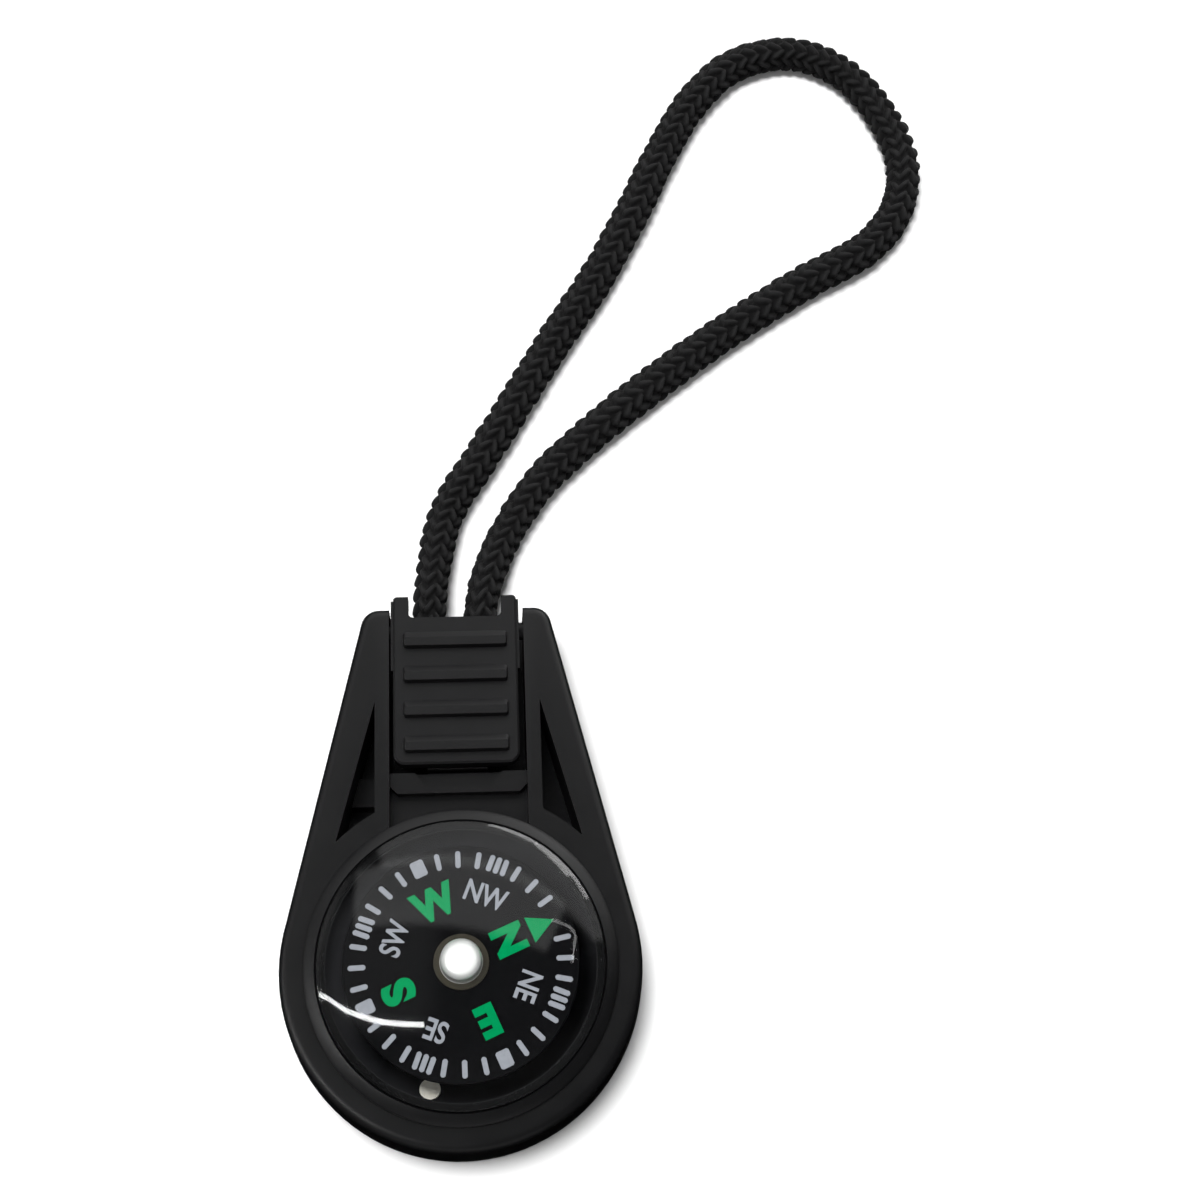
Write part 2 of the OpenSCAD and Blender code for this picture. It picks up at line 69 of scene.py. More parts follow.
# Cord loop: about 160 mm of 3 mm black polyester cord, knitted round in ten columns of slanting stitches.
# Both ends are heat-sealed and lie side by side under the lid; the loop rests on the table.
class Socket:
    """A socket of a material's nodes. Sums on it add Math nodes, and node() adds any other node."""

    def __init__(self, tree, output):
        self.tree, self.output = tree, output

    def node(self, kind, settings=None, values=None, output=0):
        made = self.tree.nodes.new("ShaderNode" + kind)
        for name, value in (settings or {}).items():
            setattr(made, name, value)
        for name, value in (values or {}).items():
            connect(made.inputs[name], value)
        return Socket(self.tree, made.outputs[output])

    def sum_with(self, operation, first, second):
        return self.node("Math", {"operation": operation}, {0: first, 1: second})

    def __add__(self, other):
        return self.sum_with("ADD", self, other)

    __radd__ = __add__

    def __sub__(self, other):
        return self.sum_with("SUBTRACT", self, other)

    def __rsub__(self, other):
        return self.sum_with("SUBTRACT", other, self)

    def __mul__(self, other):
        return self.sum_with("MULTIPLY", self, other)

    __rmul__ = __mul__

    def __lt__(self, other):
        return self.sum_with("LESS_THAN", self, other)

    def __gt__(self, other):
        return self.sum_with("GREATER_THAN", self, other)


def connect(socket, value):
    """Sets a socket, or links it where the value is another node's socket."""
    if isinstance(value, Socket):
        value.tree.links.new(value.output, socket)
    else:
        socket.default_value = value


mm_per_metre = 1000


def new_material(name):
    """A node material, its principled shader's node, and places on the piece in millimetres."""
    material = bpy.data.materials.new(name)
    material.use_nodes = True
    tree = material.node_tree
    shader = tree.nodes["Principled BSDF"]
    metres = Socket(tree, tree.nodes.new("ShaderNodeTexCoord").outputs["Object"])
    places = metres.node("VectorMath", {"operation": "SCALE"}, {"Vector": metres, "Scale": mm_per_metre})
    return material, shader, places


def noise(places, per_mm, detail=2.0, rough=0.5):
    """Even noise from 0 to 1 with so many patches to the millimetre."""
    return places.node("TexNoise", {}, {
        "Vector": places, "Scale": per_mm, "Detail": detail, "Roughness": rough})


def part_of(vector, axis):
    """One of a vector's three numbers."""
    return vector.node("SeparateXYZ", {}, {"Vector": vector}, axis)


def share_between(value, low, high):
    """How far a number has come from low to high, from 0 to 1."""
    return value.node("MapRange", {}, {"Value": value, "From Min": low, "From Max": high})


def mixed(share, first, second):
    """One colour going over into another."""
    return share.node("MixRGB", {}, {"Fac": share, "Color1": (*first, 1), "Color2": (*second, 1)})


def raised(height, depth, strength=1.0):
    """A bump whose full height is that many metres."""
    return height.node("Bump", {}, {"Height": height, "Distance": depth, "Strength": strength})


def dress(node, material):
    """Gives a piece its one material."""
    node.data.materials.clear()
    node.data.materials.append(material)


def set_sockets(shader, **values):
    """Sets or links the shader's sockets, named with underscores for spaces."""
    for name, value in values.items():
        connect(shader.inputs[name.replace("_", " ")], value)


cord_diameter = 0.003
neck_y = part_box("housing")[1].y
held_z = 0.00235
resting_z = cord_diameter / 2
sloped_z = (held_z + resting_z) / 2
cord_route = [
    (-0.0021, -0.0113, held_z), (-0.0021, -0.0069, held_z), (-0.0021, -0.0024, held_z),
    (-0.0021, 0.0011, held_z), (-0.0017, 0.0051, sloped_z), (-0.0006, 0.0097, resting_z),
    (0.002, 0.0141, resting_z), (0.005, 0.0191, resting_z), (0.0084, 0.0248, resting_z),
    (0.0124, 0.0311, resting_z), (0.0158, 0.0375, resting_z), (0.0187, 0.0436, resting_z),
    (0.0216, 0.0486, resting_z), (0.0256, 0.0526, resting_z), (0.0309, 0.0539, resting_z),
    (0.0356, 0.0518, resting_z), (0.0387, 0.0474, resting_z), (0.0401, 0.0425, resting_z),
    (0.0392, 0.0377, resting_z), (0.036, 0.0337, resting_z), (0.0303, 0.0304, resting_z),
    (0.0237, 0.0261, resting_z), (0.0176, 0.0216, resting_z), (0.0118, 0.0168, resting_z),
    (0.0072, 0.0123, resting_z), (0.0042, 0.0077, resting_z), (0.0027, 0.0041, sloped_z),
    (0.00195, 0.0009, held_z), (0.0019, -0.0024, held_z), (0.0019, -0.0069, held_z),
    (0.0019, -0.0113, held_z),
]
cord_route = [(x, neck_y + y, z) for x, y, z in cord_route]


def smooth_line(points, step, parts=24):
    """A smooth curve through the points, worked out in parts of each span, as places about a step apart."""
    p = np.array(points)
    p = np.vstack([2 * p[0] - p[1], p, 2 * p[-1] - p[-2]])
    t = np.linspace(0, 1, parts, endpoint=False)[:, None]
    runs = []
    for a, b, c, d in zip(p[:-3], p[1:-2], p[2:-1], p[3:]):
        runs.append(b + t * (c - a) / 2 + t**2 * (2 * a - 5 * b + 4 * c - d) / 2
                    + t**3 * (3 * b - a - 3 * c + d) / 2)
    line = np.vstack(runs + [p[-2:-1]])
    along = np.concatenate([[0], np.cumsum(np.linalg.norm(np.diff(line, axis=0), axis=1))])
    even = np.linspace(0, along[-1], round(along[-1] / step) + 1)
    return np.stack([np.interp(even, along, line[:, k]) for k in range(3)], axis=1), even


stitch_pitch = 0.0012
stitch_columns = 10
points_per_column = 8
rings_per_stitch = 9
stitch_drift = 0.12
drift_per_metre = 310
row_offset = 0.18
leaf_half_width = 0.000285
leaf_half_length = 0.00074
leaf_lean = math.radians(35)
leaf_height_share = 0.84
leaf_crown = 0.6
lean_varies = 0.1
size_varies = 0.09
height_varies = 0.09
raised_end_share = 0.2
turnover_share = 0.25
knit_seed = 4
spare_rows = 4
knit_depth = 0.0005
knit_radius = 0.00162
sealed_end = 0.0012
sealed_tip_share = 0.01

cord_line, cord_along = smooth_line(cord_route, stitch_pitch / rings_per_stitch)
cord_length = cord_along[-1]
ahead = np.gradient(cord_line, axis=0)
ahead /= np.linalg.norm(ahead, axis=1)[:, None]
across = np.cross((0, 0, 1), ahead)
across /= np.linalg.norm(across, axis=1)[:, None]
upward = np.cross(ahead, across)

around = stitch_columns * points_per_column
column = np.arange(around)[None, :] / points_per_column
stitch = (cord_along / stitch_pitch)[:, None] + stitch_drift * np.sin(cord_along * drift_per_metre)[:, None]
column_width = 2 * math.pi * (knit_radius - knit_depth / 2) / stitch_columns
stitch_count = int(stitch[-1, 0]) + spare_rows
chance = np.random.default_rng(knit_seed).uniform(-1, 1, (3, stitch_count, stitch_columns))
far_share = (2 * cord_along / cord_length - 1)[:, None]
high_end = raised_end_share * np.clip(far_share / turnover_share, -1, 1)
leaf_height = np.zeros((len(cord_line), around))
leaf_place = np.zeros((len(cord_line), around, 2))
for beside in (-1, 0, 1):
    number = (np.floor(column) + beside).astype(int)
    lean = np.where(number % 2 == 0, 1.0, -1.0)
    sideways = (column - number - 0.5) * column_width
    shifted = stitch - row_offset * (number % 2)
    for before in (-1, 0, 1):
        row = np.round(shifted).astype(int) + before
        which = (np.clip(row, 0, stitch_count - 1), number % stitch_columns)
        angle = leaf_lean + lean_varies * chance[0][which]
        size = 1 + size_varies * chance[1][which]
        lengthways = (shifted - row) * stitch_pitch
        on_leaf = (lengthways * np.cos(angle) + lean * sideways * np.sin(angle)) / (leaf_half_length * size)
        off_leaf = (sideways * np.cos(angle) - lean * lengthways * np.sin(angle)) / (leaf_half_width * size)
        off_leaf = off_leaf / (1 + high_end * np.clip(on_leaf, -1, 1))
        rest = 1 - off_leaf**2 - np.abs(on_leaf) ** 3
        height = np.clip(rest, 0, 1) ** leaf_crown * (
            leaf_height_share + high_end * on_leaf + height_varies * chance[2][which])
        higher = height > leaf_height
        leaf_height = np.where(higher, height, leaf_height)
        leaf_place = np.where(higher[..., None], np.stack([on_leaf, off_leaf], axis=-1), leaf_place)

end_distance = np.minimum(cord_along, cord_length - cord_along)[:, None]
end_share = np.clip(end_distance / sealed_end, 0, 1)
round_share = np.sqrt(np.clip(1 - (1 - end_share) ** 2, sealed_tip_share, 1))
fullness_along = [(0, 0.88), (0.013, 0.9), (0.02, 0.97), (0.05, 1.02), (0.08, 0.97), (0.1, 1.0), (0.13, 1.02),
                  (cord_length - 0.013, 0.9), (cord_length, 0.88)]
fullness = np.interp(cord_along, *zip(*fullness_along))[:, None]
radius = (knit_radius * fullness - knit_depth * (1 - leaf_height * end_share)) * round_share
turn = 2 * math.pi * column / stitch_columns
cord_points = (cord_line[:, None, :]
               + (radius * np.cos(turn))[..., None] * across[:, None, :]
               + (radius * np.sin(turn))[..., None] * upward[:, None, :])
cord_points[..., 2] = np.maximum(cord_points[..., 2], 0)
rings = len(cord_line)
first = np.arange(rings - 1)[:, None] * around + np.arange(around)[None, :]
second = np.arange(rings - 1)[:, None] * around + (np.arange(around)[None, :] + 1) % around
walls = np.stack([first, second, second + around, first + around], axis=-1).reshape(-1, 4)
sealed_ends = [list(range(around))[::-1], list(range((rings - 1) * around, rings * around))]
cord_mesh = bpy.data.meshes.new("cord")
cord_mesh.from_pydata(cord_points.reshape(-1, 3).tolist(), [], walls.tolist() + sealed_ends)
cord_mesh.shade_smooth()
leaf = cord_mesh.attributes.new("leaf", "FLOAT_VECTOR", "POINT")
leaf_data = np.concatenate([leaf_place, leaf_height[..., None]], axis=-1)
leaf.data.foreach_set("vector", leaf_data.astype(np.float32).ravel())
cord = bpy.data.objects.new("knitted_cord", cord_mesh)
scene.collection.objects.link(cord)

fabric, fabric_shader, fabric_places = new_material("knitted_polyester")
leaf_at = fabric_places.node("Attribute", {"attribute_name": "leaf"}, {}, "Vector")
strands = part_of(leaf_at, "Y") * 19 + noise(fabric_places, per_mm=1.2) * 5
filaments = strands.node("Math", {"operation": "SINE"}, {0: strands})
fluff = noise(fabric_places, per_mm=14, detail=3)
# Painted shade: the cord's base colour goes near black down in the valleys between stitches and lighter on
# the crests, with fluff noise mixed over it.
crest_vs_painted_shade = share_between(part_of(leaf_at, "Z"), 0.2, 0.95)
worn = noise(fabric_places, per_mm=0.5)
fibre_tone_and_painted_shade = mixed(crest_vs_painted_shade * 0.75 + fluff * 0.25, (0.0012, 0.0012, 0.0013), (0.0125, 0.0125, 0.0128))
set_sockets(
    fabric_shader,
    Base_Color=fibre_tone_and_painted_shade,
    Roughness=0.58 + worn * 0.14,
    Normal=raised(filaments * 0.5 + fluff * 0.8, depth=0.00003, strength=0.5),
    Sheen_Weight=0.03,
    Sheen_Roughness=0.5,
    Specular_IOR_Level=0.3,
)
dress(cord, fabric)
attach(cord, "case")
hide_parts("cord_loop")


# Housing: one black nylon moulding with a fine spark-eroded grain, drafted sides and a raised bezel.
# The lid's channel, the latch bar and the two side windows are moulded in; its edges are softly broken.
weld_distance = 0.000002


def ease_edges(piece, width, angle=32):
    """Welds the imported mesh, shades its curves smoothly and breaks its edges, as a mould does."""
    group = bpy.data.node_groups.new(piece.name + "_skin", "GeometryNodeTree")
    for way in ("INPUT", "OUTPUT"):
        group.interface.new_socket("Geometry", in_out=way, socket_type="NodeSocketGeometry")
    start, end = group.nodes.new("NodeGroupInput"), group.nodes.new("NodeGroupOutput")
    weld = group.nodes.new("GeometryNodeMergeByDistance")
    weld.inputs["Distance"].default_value = weld_distance
    plain = group.nodes.new("GeometryNodeRemoveAttribute")
    plain.inputs["Name"].default_value = "custom_normal"
    faces = group.nodes.new("GeometryNodeSetShadeSmooth")
    edges = group.nodes.new("GeometryNodeSetShadeSmooth")
    edges.domain = "EDGE"
    bend = group.nodes.new("GeometryNodeInputMeshEdgeAngle")
    gentle = group.nodes.new("ShaderNodeMath")
    gentle.operation = "LESS_THAN"
    gentle.inputs[1].default_value = math.radians(angle)
    links = group.links
    links.new(start.outputs[0], weld.inputs["Geometry"])
    links.new(weld.outputs[0], plain.inputs[0])
    links.new(plain.outputs[0], faces.inputs["Geometry"])
    links.new(faces.outputs[0], edges.inputs["Geometry"])
    links.new(bend.outputs["Unsigned Angle"], gentle.inputs[0])
    links.new(gentle.outputs[0], edges.inputs["Shade Smooth"])
    links.new(edges.outputs[0], end.inputs[0])
    skin = piece.modifiers.new("skin", "NODES")
    skin.node_group = group
    bevel = piece.modifiers.new("broken_edges", "BEVEL")
    bevel.width = width
    bevel.segments = 2
    bevel.limit_method = "ANGLE"
    bevel.angle_limit = math.radians(angle)
    bevel.miter_outer = "MITER_ARC"
    bevel.harden_normals = True


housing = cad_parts["housing"]
ease_edges(housing, width=0.00007)
plastic, plastic_shader, plastic_places = new_material("black_nylon")
grain = noise(plastic_places, per_mm=7, detail=3, rough=0.6)
handling = noise(plastic_places, per_mm=0.35, detail=3, rough=0.6)
dusty = share_between(noise(plastic_places, per_mm=16, detail=1), 0.68, 0.78)
plastic_shade = mixed(handling * 0.7 + dusty * 0.3, (0.0024, 0.0024, 0.0027), (0.0044, 0.0044, 0.0048))
set_sockets(
    plastic_shader,
    Base_Color=plastic_shade,
    Roughness=0.34 + handling * 0.14,
    Normal=raised(grain, depth=0.00001, strength=0.5),
    Specular_IOR_Level=0.5,
)
dress(housing, plastic)


# Capsule cup: a smooth black moulding pressed into the bezel and filled with damping oil.
# Its bowl shows through the lens as the deep black ring round the card, and its cemented rim as a grey one.
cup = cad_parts["capsule_cup"]
ease_edges(cup, width=0.00004)
cup_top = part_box("capsule_cup")[1].z
rim_depth = 0.00002
cup_black, cup_shader, cup_places = new_material("cup_black")
flow = noise(cup_places, per_mm=0.6, detail=3)
cemented = (cup_top - rim_depth) * mm_per_metre < part_of(cup_places, "Z")
bowl_shade = mixed(flow, (0.009, 0.009, 0.01), (0.0135, 0.0135, 0.015))
set_sockets(
    cup_shader,
    Base_Color=cemented.node("MixRGB", {}, {
        "Fac": cemented, "Color1": bowl_shade, "Color2": (0.0125, 0.0125, 0.013, 1)}),
    Roughness=0.2 + flow * 0.12,
    Specular_IOR_Level=0.02,
)
dress(cup, cup_black)


# Lens dome: clear acrylic, polished outside and bonded with dark cement to the cup's rim and the seat.
# Oil wets its inner face, which therefore doesn't show, and the dome magnifies the card.
def out_from_axis(places):
    """How far a place is from the dial's axis."""
    on_plan = places.node("VectorMath", {"operation": "MULTIPLY"}, {0: places, 1: (1, 1, 0)})
    return on_plan.node("VectorMath", {"operation": "LENGTH"}, {0: on_plan}, "Value")


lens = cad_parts["lens_dome"]
ease_edges(lens, width=0.00009)
lens_low, lens_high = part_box("lens_dome")
lens_wall = 0.0009
lens_radius = lens_high.x
dome_height = 0.003
dome_radius = (lens_radius**2 + dome_height**2) / (2 * dome_height)
dome_centre_z = lens_high.z - dome_radius
cement_top = lens_high.z - dome_height - 0.0001
cemented_side = lens_radius - 0.00008
joint_top = lens_low.z + 0.00002
acrylic_ior = 1.47

acrylic, acrylic_shader, acrylic_places = new_material("clear_acrylic")
from_centre = acrylic_places.node("VectorMath", {"operation": "DISTANCE"}, {
    0: acrylic_places, 1: (0, 0, dome_centre_z * mm_per_metre)}, "Value")
from_axis = out_from_axis(acrylic_places)
height_up = part_of(acrylic_places, "Z")
under_dome = from_centre < (dome_radius - lens_wall / 2) * mm_per_metre
inside_wall = from_axis < (lens_radius - lens_wall / 8) * mm_per_metre
wetted = under_dome * inside_wall
on_joint = height_up < joint_top * mm_per_metre
unseen = wetted.node("Math", {"operation": "MAXIMUM"}, {0: wetted, 1: on_joint})
beside_seat = (height_up < cement_top * mm_per_metre) * (1 - (from_axis < cemented_side * mm_per_metre))

acrylic.node_tree.nodes.remove(acrylic_shader)
smears = noise(acrylic_places, per_mm=0.3, detail=3)
bent = acrylic_places.node("BsdfRefraction", {}, {
    "IOR": acrylic_ior, "Roughness": 0.0, "Color": (0.97, 0.98, 0.98, 1)}, "BSDF")
gloss = acrylic_places.node("BsdfAnisotropic", {}, {
    "Roughness": 0.05 + smears * 0.01, "Color": (1, 1, 1, 1)}, "BSDF")
facing_share = acrylic_places.node("Fresnel", {}, {"IOR": acrylic_ior}, "Fac")
polished = acrylic_places.node("MixShader", {}, {0: facing_share, 1: bent, 2: gloss}, "Shader")
clear = acrylic_places.node("BsdfTransparent", {}, {"Color": (0.98, 0.985, 0.985, 1)}, "BSDF")
shadow_ray = acrylic_places.node("LightPath", {}, {}, "Is Shadow Ray")
surface = acrylic_places.node("MixShader", {}, {0: unseen, 1: polished, 2: clear}, "Shader")
lit_through = acrylic_places.node("MixShader", {}, {0: shadow_ray, 1: surface, 2: clear}, "Shader")
cement = acrylic_places.node("BsdfDiffuse", {}, {"Color": (0.009, 0.009, 0.0095, 1)}, "BSDF")
whole = acrylic_places.node("MixShader", {}, {0: beside_seat, 1: lit_through, 2: cement}, "Shader")
connect(acrylic.node_tree.nodes["Material Output"].inputs["Surface"], whole)
dress(lens, acrylic)


# Filler plug: a small pale polymer pin that closes the filling hole in the cup's floor.
# Its head sits inside the oil, at the lower edge of the dial.
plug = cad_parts["filler_plug"]
ease_edges(plug, width=0.00006)
cream, cream_shader, cream_places = new_material("cream_polymer")
mottled = noise(cream_places, per_mm=3)
set_sockets(
    cream_shader,
    Base_Color=mixed(mottled, (0.88, 0.82, 0.68), (0.97, 0.94, 0.86)),
    Roughness=0.28 + mottled * 0.1,
    Normal=raised(mottled, depth=0.00002, strength=0.4),
    Specular_IOR_Level=0.1,
)
dress(plug, cream)


# Pivot pin and jewel: a ground steel needle pressed into the cup's pillar, and the bearing that rides on it.
# Both are hidden by the cap, and show only from low angles.
steel, steel_shader, steel_places = new_material("ground_steel")
ground = noise(steel_places, per_mm=9)
set_sockets(
    steel_shader,
    Base_Color=mixed(ground, (0.45, 0.45, 0.46), (0.62, 0.62, 0.63)),
    Metallic=1.0,
    Roughness=0.22 + ground * 0.1,
    Normal=raised(ground, depth=0.000004, strength=0.3),
)
dress(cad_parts["pivot_pin"], steel)

ruby, ruby_shader, ruby_places = new_material("ruby_glass")
clouded = noise(ruby_places, per_mm=2)
set_sockets(
    ruby_shader,
    Base_Color=mixed(clouded, (0.35, 0.02, 0.05), (0.5, 0.05, 0.1)),
    Roughness=0.08 + clouded * 0.05,
    IOR=1.76,
)
dress(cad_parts["jewel"], ruby)


# Magnet: a pressed and sintered ferrite ring, dull grey and a little rough.
# The cap's stem rivets it under the card, which it turns to the north.
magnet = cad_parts["magnet"]
ease_edges(magnet, width=0.00008)
ferrite, ferrite_shader, ferrite_places = new_material("sintered_ferrite")
grit = noise(ferrite_places, per_mm=9, detail=3, rough=0.7)
set_sockets(
    ferrite_shader,
    Base_Color=mixed(grit, (0.03, 0.03, 0.032), (0.07, 0.07, 0.075)),
    Metallic=0.35,
    Roughness=0.55 + grit * 0.2,
    Normal=raised(grit, depth=0.00002, strength=0.6),
)
dress(magnet, ferrite)


# Dial card: a thin black disc with screen-printed marks, turning as one with the magnet and the cap.
# North points some 20 degrees up from the housing's right-hand side, as it came to rest.
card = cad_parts["dial_card"]
ease_edges(card, width=0.00004)
card_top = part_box("dial_card")[1].z
card_black, card_shader, card_places = new_material("card_black")
soot = noise(card_places, per_mm=1.5)
set_sockets(
    card_shader,
    Base_Color=mixed(soot, (0.0026, 0.0026, 0.003), (0.004, 0.004, 0.0045)),
    Roughness=0.45 + soot * 0.12,
    Normal=raised(noise(card_places, per_mm=6), depth=0.000004, strength=0.4),
    Specular_IOR_Level=0.03,
)
dress(card, card_black)

north = math.radians(23.5)
ink_thickness = 0.00001
ring_inner, ring_outer = 0.0066, 0.0079
ring_steps = 32
thin_tick, wide_tick = 0.00037, 0.00098
group_step = 0.00052
tick_round = 0.00012
pale_words = [("NE", 0.5), ("SE", 1.5), ("SW", 2.5), ("NW", 3.5)]
pale_out, pale_height, pale_boldness, pale_width_share = 0.0049, 0.00155, 0.022, 0.78
green_words = [("N", 0, 0.0036, 0.0023, 0.92), ("E", 1, 0.0044, 0.0023, 0.95),
               ("S", 2, 0.0047, 0.0024, 1.05), ("W", 3, 0.0045, 0.0023, 0.92)]
green_boldness = 0.055
arrow_tip, arrow_base, arrow_half_width = 0.0071, 0.0052, 0.00095
quarter = math.pi / 2


def new_piece(name, vertices, faces, material, body):
    """A mesh piece that rides on a body."""
    mesh = bpy.data.meshes.new(name)
    mesh.from_pydata(vertices, [], faces)
    piece = bpy.data.objects.new(name, mesh)
    scene.collection.objects.link(piece)
    dress(piece, material)
    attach(piece, body)
    return piece


def dial_place(bearing, outward, sideways=0.0):
    """A place on the card: its bearing in radians clockwise from north, its distance out, and aside."""
    angle = north - bearing
    out = Vector((math.cos(angle), math.sin(angle)))
    aside = Vector((out.y, -out.x))
    return out * outward + aside * sideways


def add_ink(vertices, faces, outline):
    """Adds one flat patch of ink with that outline, standing proud of the card."""
    base = len(vertices)
    count = len(outline)
    vertices += [(p.x, p.y, card_top) for p in outline]
    vertices += [(p.x, p.y, card_top + ink_thickness) for p in outline]
    faces += [[base + count + i for i in range(count)]]
    faces += [[base + i, base + (i + 1) % count, base + count + (i + 1) % count, base + count + i]
              for i in range(count)]


def letter_outlines(word, height, boldness, width_share):
    """The word's triangles, with its middle at the origin and capitals of that height."""
    text = bpy.data.curves.new(word, "FONT")
    text.body = word
    text.offset = boldness
    text.align_x = "CENTER"
    letters = bpy.data.objects.new(word, text)
    flat = bpy.data.meshes.new_from_object(letters)
    low = Vector([min(v.co[k] for v in flat.vertices) for k in range(3)])
    high = Vector([max(v.co[k] for v in flat.vertices) for k in range(3)])
    middle, scale = (low + high) / 2, height / (high.y - low.y)
    places = [((v.co.x - middle.x) * scale * width_share, (v.co.y - middle.y) * scale) for v in flat.vertices]
    shapes = [[places[i] for i in face.vertices] for face in flat.polygons]
    bpy.data.objects.remove(letters)
    bpy.data.curves.remove(text)
    bpy.data.meshes.remove(flat)
    return shapes


def add_letters(vertices, faces, word, bearing, outward, height, boldness, width_share):
    """Letters on the card whose tops point outwards."""
    for outline in letter_outlines(word, height, boldness, width_share):
        add_ink(vertices, faces, [dial_place(bearing, outward + y, x) for x, y in outline])


def add_tick(vertices, faces, bearing, width, aside=0.0):
    """One bar of the ring, its corners clipped as the ink draws them."""
    half, low, high, cut = width / 2, ring_inner, ring_outer, tick_round
    add_ink(vertices, faces, [dial_place(bearing, r, aside + s) for r, s in (
        (low, half - cut), (low, cut - half), (low + cut, -half), (high - cut, -half),
        (high, cut - half), (high, half - cut), (high - cut, half), (low + cut, half))])


def new_ink(name, thin, thick):
    """A matt ink that goes from a thin shade to a thick one."""
    ink, ink_shader, ink_places = new_material(name)
    laid = noise(ink_places, per_mm=3)
    set_sockets(
        ink_shader,
        Base_Color=mixed(laid, thin, thick),
        Roughness=0.5 + laid * 0.1,
        Normal=raised(noise(ink_places, per_mm=12), depth=0.000003, strength=0.4),
        Specular_IOR_Level=0.0,
    )
    return ink


pale_points, pale_faces = [], []
for step in range(1, ring_steps):
    bearing = step * 2 * math.pi / ring_steps
    if step % 8 == 0:
        add_tick(pale_points, pale_faces, bearing, wide_tick)
    elif step % 8 == 4:
        for aside in (-group_step, 0, group_step):
            add_tick(pale_points, pale_faces, bearing, thin_tick, aside)
    else:
        add_tick(pale_points, pale_faces, bearing, thin_tick)
for word, turns in pale_words:
    add_letters(pale_points, pale_faces, word, turns * quarter,
                pale_out, pale_height, pale_boldness, pale_width_share)
pale_ink = new_ink("pale_ink", (0.215, 0.223, 0.245), (0.285, 0.293, 0.325))
new_piece("pale_print", pale_points, pale_faces, pale_ink, "card")

green_points, green_faces = [], []
for word, turns, outward, height, width_share in green_words:
    add_letters(green_points, green_faces, word, turns * quarter,
                outward, height, green_boldness, width_share)
add_ink(green_points, green_faces, [
    dial_place(0, arrow_tip), dial_place(0, arrow_base, arrow_half_width),
    dial_place(0, arrow_base, -arrow_half_width)])
green_ink = new_ink("green_ink", (0.0005, 0.19, 0.06), (0.001, 0.24, 0.078))
new_piece("green_print", green_points, green_faces, green_ink, "card")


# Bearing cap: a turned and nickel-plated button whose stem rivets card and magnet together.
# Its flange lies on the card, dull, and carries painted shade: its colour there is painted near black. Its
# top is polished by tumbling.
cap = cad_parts["bearing_cap"]
ease_edges(cap, width=0.00003)
polish_ends_mm, flange_starts_mm = 1.42, 1.5
nickel, nickel_shader, nickel_places = new_material("nickel_plate")
tumbled = noise(nickel_places, per_mm=5)
# The flange's near-black brown is painted shade, not the nickel's own colour.
flange = share_between(out_from_axis(nickel_places), polish_ends_mm, flange_starts_mm)
set_sockets(
    nickel_shader,
    Base_Color=mixed(flange, (0.92, 0.91, 0.89), (0.035, 0.03, 0.02)),
    Metallic=0.55 - flange * 0.2,
    Roughness=0.3 + tumbled * 0.08 + flange * 0.2,
    Normal=raised(tumbled, depth=0.000006, strength=0.3),
)
dress(cap, nickel)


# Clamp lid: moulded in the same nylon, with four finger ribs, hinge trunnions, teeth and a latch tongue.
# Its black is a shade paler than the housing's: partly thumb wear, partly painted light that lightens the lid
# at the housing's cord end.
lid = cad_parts["clamp_lid"]
ease_edges(lid, width=0.00006)
lid_plastic, lid_shader, lid_places = new_material("thumbed_nylon_painted_paler")
lid_grain = noise(lid_places, per_mm=7, detail=3, rough=0.6)
thumbed = noise(lid_places, per_mm=0.5, detail=3, rough=0.6)
# Painted light: both lid blacks sit above the housing's; the random patches between them are thumb wear.
set_sockets(
    lid_shader,
    Base_Color=mixed(thumbed, (0.004, 0.004, 0.0043), (0.006, 0.006, 0.0065)),
    Roughness=0.34 + thumbed * 0.16,
    Normal=raised(lid_grain, depth=0.00001, strength=0.5),
    Specular_IOR_Level=0.5,
)
dress(lid, lid_plastic)


# Table and studio: a sheet of white paper under a soft lamp high on the left, a pale sheet overhead and
# two small fills. The soft-edged panels, tubes and sill light nothing: they stand for the room's walls,
# ceiling and lamps, and show only as reflections in the dome and the bezel.
table_half = 0.4
table_corners = [(-table_half, -table_half, 0), (table_half, -table_half, 0),
                 (table_half, table_half, 0), (-table_half, table_half, 0)]
table_mesh = bpy.data.meshes.new("table")
table_mesh.from_pydata(table_corners, [], [(0, 1, 2, 3)])
table = bpy.data.objects.new("table", table_mesh)
scene.collection.objects.link(table)
paper, paper_shader, paper_places = new_material("white_paper")
fibres = noise(paper_places, per_mm=0.2)
set_sockets(
    paper_shader,
    Base_Color=mixed(fibres, (0.9, 0.9, 0.9), (0.92, 0.92, 0.92)),
    Roughness=0.9,
    Specular_IOR_Level=0.0,
)
dress(table, paper)
table.visible_glossy = False


def towards(bearing, height):
    """The direction at that bearing, in degrees from +Y to +X, and that height above the table."""
    b, h = math.radians(bearing), math.radians(height)
    return Vector((math.sin(b) * math.cos(h), math.cos(b) * math.cos(h), math.sin(h)))


def fade_edges(lamp_data, size, faded):
    """Lets a lamp's glow die away towards its edges over that many metres."""
    lamp_data.use_nodes = True
    glow = lamp_data.node_tree
    spot = Socket(glow, glow.nodes.new("ShaderNodeNewGeometry").outputs["Parametric"])
    spot = spot.node("VectorMath", {"operation": "SUBTRACT"}, {0: spot, 1: (0.5, 0.5, 0)})
    spot = spot.node("VectorMath", {"operation": "ABSOLUTE"}, {0: spot})
    strength = 1
    for axis, width in zip("XY", size):
        off = part_of(spot, axis) * width
        strength = strength * off.node("MapRange", {"interpolation_type": "SMOOTHSTEP"}, {
            "Value": off, "From Min": width / 2, "From Max": width / 2 - faded})
    connect(glow.nodes["Emission"].inputs["Strength"], strength)


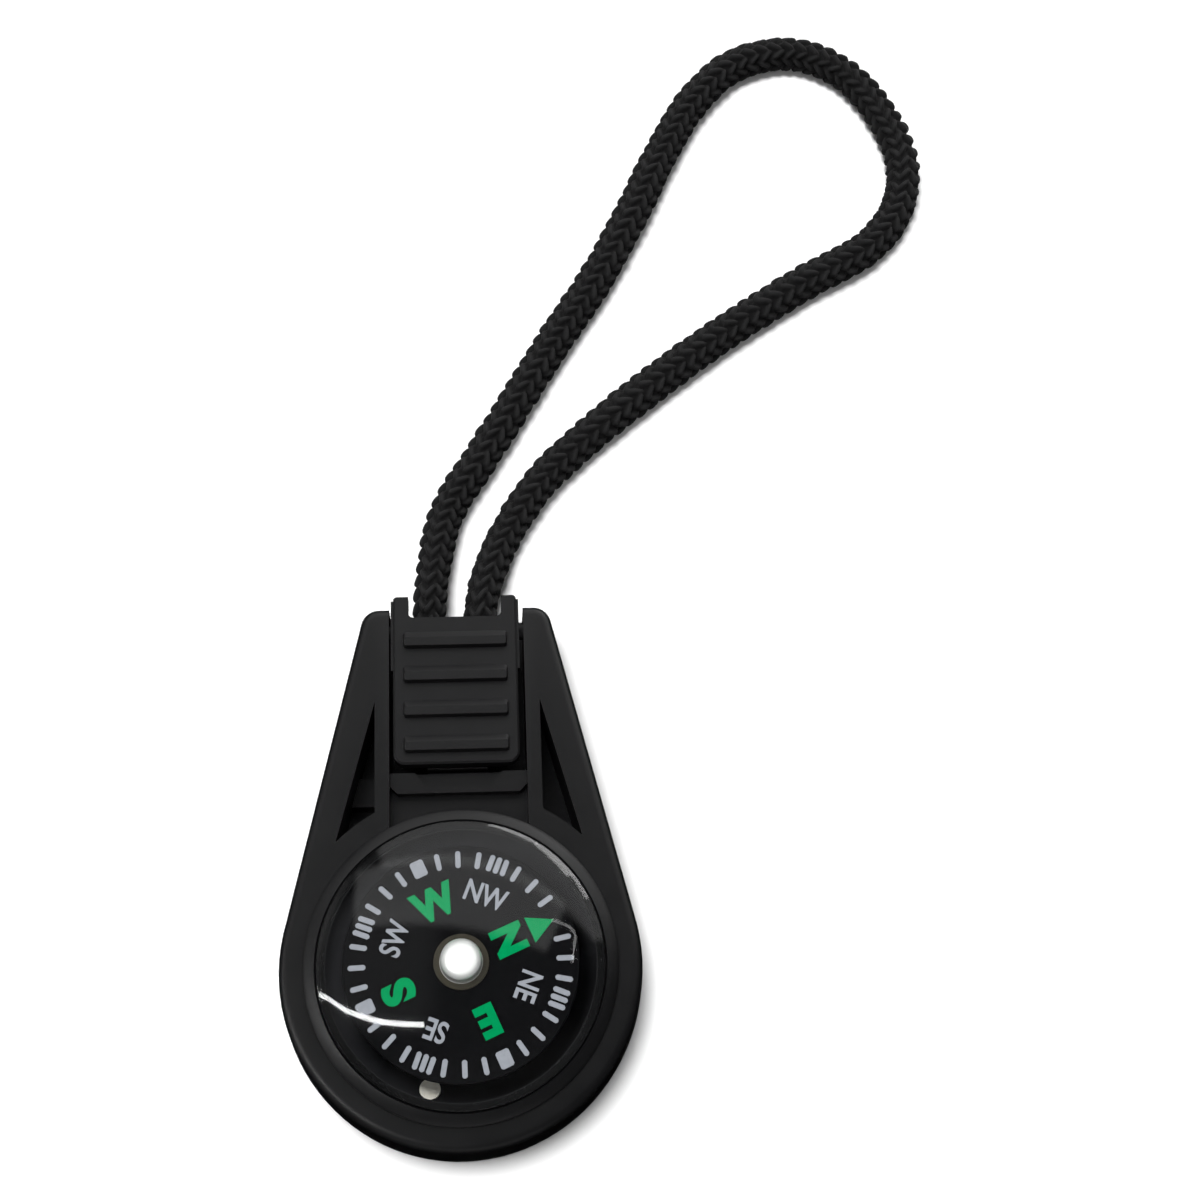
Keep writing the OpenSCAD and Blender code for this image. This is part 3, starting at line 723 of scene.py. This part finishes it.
def add_lamp(name, place, size, radiance, long_way=(1, 0, 0), shows=False, lights=True, shape="ELLIPSE",
             faded=0):
    """An area lamp that faces the dial, its first size lying along its long way."""
    lamp = bpy.data.objects.new(name, bpy.data.lights.new(name, "AREA"))
    if faded:
        size = (size[0] + faded, size[1] + faded)
        fade_edges(lamp.data, size, faded)
    lamp.data.shape = shape
    lamp.data.size, lamp.data.size_y = size
    lamp.data.energy = radiance * math.pi * size[0] * size[1] * (math.pi / 4 if shape == "ELLIPSE" else 1)
    back = place.normalized()
    side = (Vector(long_way) - back * back.dot(long_way)).normalized()
    turned = Matrix((side, back.cross(side), back)).transposed().to_quaternion()
    lamp.matrix_world = Matrix.LocRotScale(place, turned, None)
    scene.collection.objects.link(lamp)
    lamp.visible_camera = False
    lamp.visible_glossy = shows
    lamp.visible_diffuse = lights
    lamp.visible_transmission = False


def add_panel(name, place, size, radiance, long_way, faded=0):
    """A panel that lights nothing and is seen only as a reflection."""
    add_lamp(name, place, size, radiance, long_way, shows=True, lights=False, shape="RECTANGLE", faded=faded)


def add_tube(name, directions, thicknesses, radiance, distance=0.6, overlap=1.03):
    """A bent tube lamp through those directions, made of short panels that overlap a little."""
    for start, end, thick in zip(directions[:-1], directions[1:], thicknesses):
        low, high = towards(*start) * distance, towards(*end) * distance
        add_panel(name, (low + high) / 2, ((high - low).length * overlap, thick), radiance, high - low)


rightwards, away = (1, 0, 0), (0, 1, 0)
add_lamp("soft_key", towards(-50, 78) * 0.7, (0.27, 0.27), radiance=33.0)
add_lamp("front_fill", towards(175, 48) * 0.7, (0.2, 0.2), radiance=6.0)
add_lamp("overhead_sheet", towards(0, 90) * 1.2, (2.4, 2.4), radiance=0.3, shape="RECTANGLE")
add_lamp("lid_lamp", towards(-30, 60) * 0.16, (0.07, 0.07), radiance=2.2)
add_panel("far_wall", towards(20, 19.5) * 0.9, (2.0, 0.66), 0.8, (0.99, 0, 0.12), faded=0.12)
add_panel("far_ceiling", towards(-2, 51) * 1.0, (1.9, 0.6), 0.84, (0.978, -0.159, 0.134), faded=0.12)
add_panel("left_wall", towards(-85, 14.5) * 0.9, (1.5, 0.3), 0.47, away, faded=0.08)
add_panel("left_glow", towards(-76, 52) * 0.9, (0.9, 0.8), 0.16, away, faded=0.3)
add_panel("near_ceiling", towards(155, 38) * 0.9, (2.2, 0.5), 0.065, rightwards, faded=0.3)
add_panel("near_wall", towards(180, 14) * 0.8, (0.9, 0.3), 0.6, rightwards, faded=0.1)
add_tube("tube_lamp", [(-87, 20), (-89, 23), (-92, 26), (-96, 30.5), (-101, 35.5), (-107, 42), (-115, 49.5),
                       (-125, 57), (-138, 63.5)],
         (0.007, 0.01, 0.013, 0.016, 0.018, 0.02, 0.021, 0.022), radiance=27)
add_tube("lamp_hook", [(57, 42), (64, 36), (69, 35), (75, 38), (82, 40)],
         (0.011, 0.012, 0.012, 0.01), radiance=4)
add_tube("sunlit_sill", [(10, 14.5), (28, 16.3), (45, 19.3), (56, 21)], (0.045, 0.05, 0.024), radiance=5.4)

backdrop_strength = 0.93
world = bpy.data.worlds.new("studio")
scene.world = world
world.use_nodes = True
set_sockets(world.node_tree.nodes["Background"], Color=(1, 1, 1, 1), Strength=backdrop_strength)
world.cycles_visibility.glossy = False
world.cycles_visibility.diffuse = False
